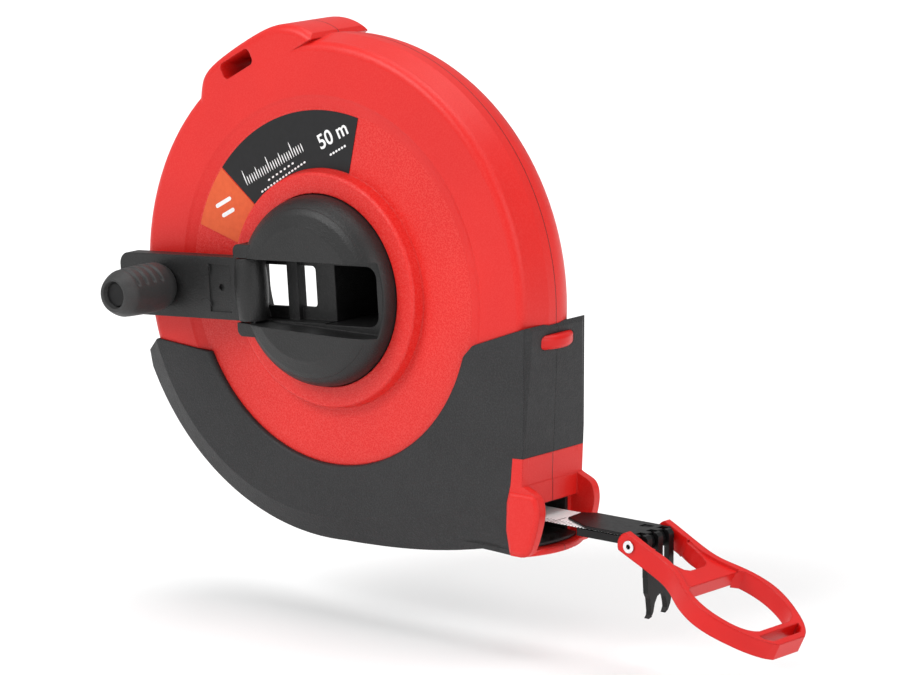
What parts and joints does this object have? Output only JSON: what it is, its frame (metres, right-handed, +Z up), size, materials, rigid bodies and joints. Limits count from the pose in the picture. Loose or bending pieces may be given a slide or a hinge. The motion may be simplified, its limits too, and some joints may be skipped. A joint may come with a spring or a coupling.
{
  "type": "long tape measure",
  "caption": "Closed-case long steel tape measure with a folding crank, a rubber guard, a hinged pull ring and a folding claw.",
  "frame": {"origin": "on the reel axis, at the parting plane midway between the two case shells", "axes": "+X towards the tape mouth, -Y out of the crank side along the reel axis, +Z up"},
  "size_m": [0.2089, 0.055, 0.1468],
  "materials": {
    "red_plastic": "fine satin moulded",
    "guard_rubber": "matt soft rubber",
    "black_plastic": "satin moulded",
    "dark_steel": "blackened",
    "bright_steel": "bright nickel",
    "tape_coating": "matt white coated steel",
    "label_charcoal": "printed film",
    "label_orange": "printed film"
  },
  "bodies": {
    "case": {"front_shell": "red_plastic", "rear_shell": "red_plastic", "front_guard": "guard_rubber", "rear_guard": "guard_rubber", "mouth_guide": "black_plastic", "ring_catch": "red_plastic", "case_screws": "dark_steel", "label_dark": "label_charcoal", "label_orange": "label_orange"},
    "drum": {"hub_front": "black_plastic", "flange_front": "black_plastic", "flange_rear": "black_plastic", "drum_core": "black_plastic", "rear_hub_ring": "black_plastic", "tape_coil": "tape_coating", "tape_anchor": "bright_steel", "hub_screws": "bright_steel", "hinge_pin": "bright_steel"},
    "crank": {"crank_arm": "black_plastic", "knob_axle": "dark_steel"},
    "knob": {"knob_grip": "black_plastic"},
    "tape_end": {"tape_blade": "tape_coating", "upper_jaw": "dark_steel", "lower_jaw": "dark_steel", "fitting_rivets": "dark_steel", "ring_pin": "bright_steel"},
    "pull_ring": {"pull_ring": "red_plastic"},
    "claw": {"claw": "dark_steel"}
  },
  "joints": [
    {"name": "drum_spin", "type": "hinge", "parent": "case", "child": "drum", "pos_m": [0, 0, 0], "axis": [0, -1, 0], "range_deg": [-23.87, 360]},
    {"name": "tape_pull", "type": "slide", "parent": "case", "child": "tape_end", "axis": [1, 0, 0], "range_m": [-0.025, 0.377], "deforming": ["tape_blade"]},
    {"name": "crank_fold", "type": "hinge", "parent": "drum", "child": "crank", "pos_m": [-0.02174, -0.0178, -0.00163], "axis": [-0.075, 0, 0.9972], "range_deg": [0, 180]},
    {"name": "knob_spin", "type": "hinge", "parent": "crank", "child": "knob", "pos_m": [-0.05165, -0.025, -0.00388], "axis": [0, -1, 0], "continuous": true},
    {"name": "ring_swing", "type": "hinge", "parent": "tape_end", "child": "pull_ring", "pos_m": [0.0975, 0, -0.055], "axis": [0, -1, 0], "range_deg": [-30, 116]},
    {"name": "claw_fold", "type": "hinge", "parent": "tape_end", "child": "claw", "pos_m": [0.0975, 0, -0.055], "axis": [0, 1, 0], "range_deg": [0, 90]}
  ],
  "couplings": [
    {"joint": "tape_pull", "follows": "drum_spin", "m_per_rad": 0.06}
  ]
}
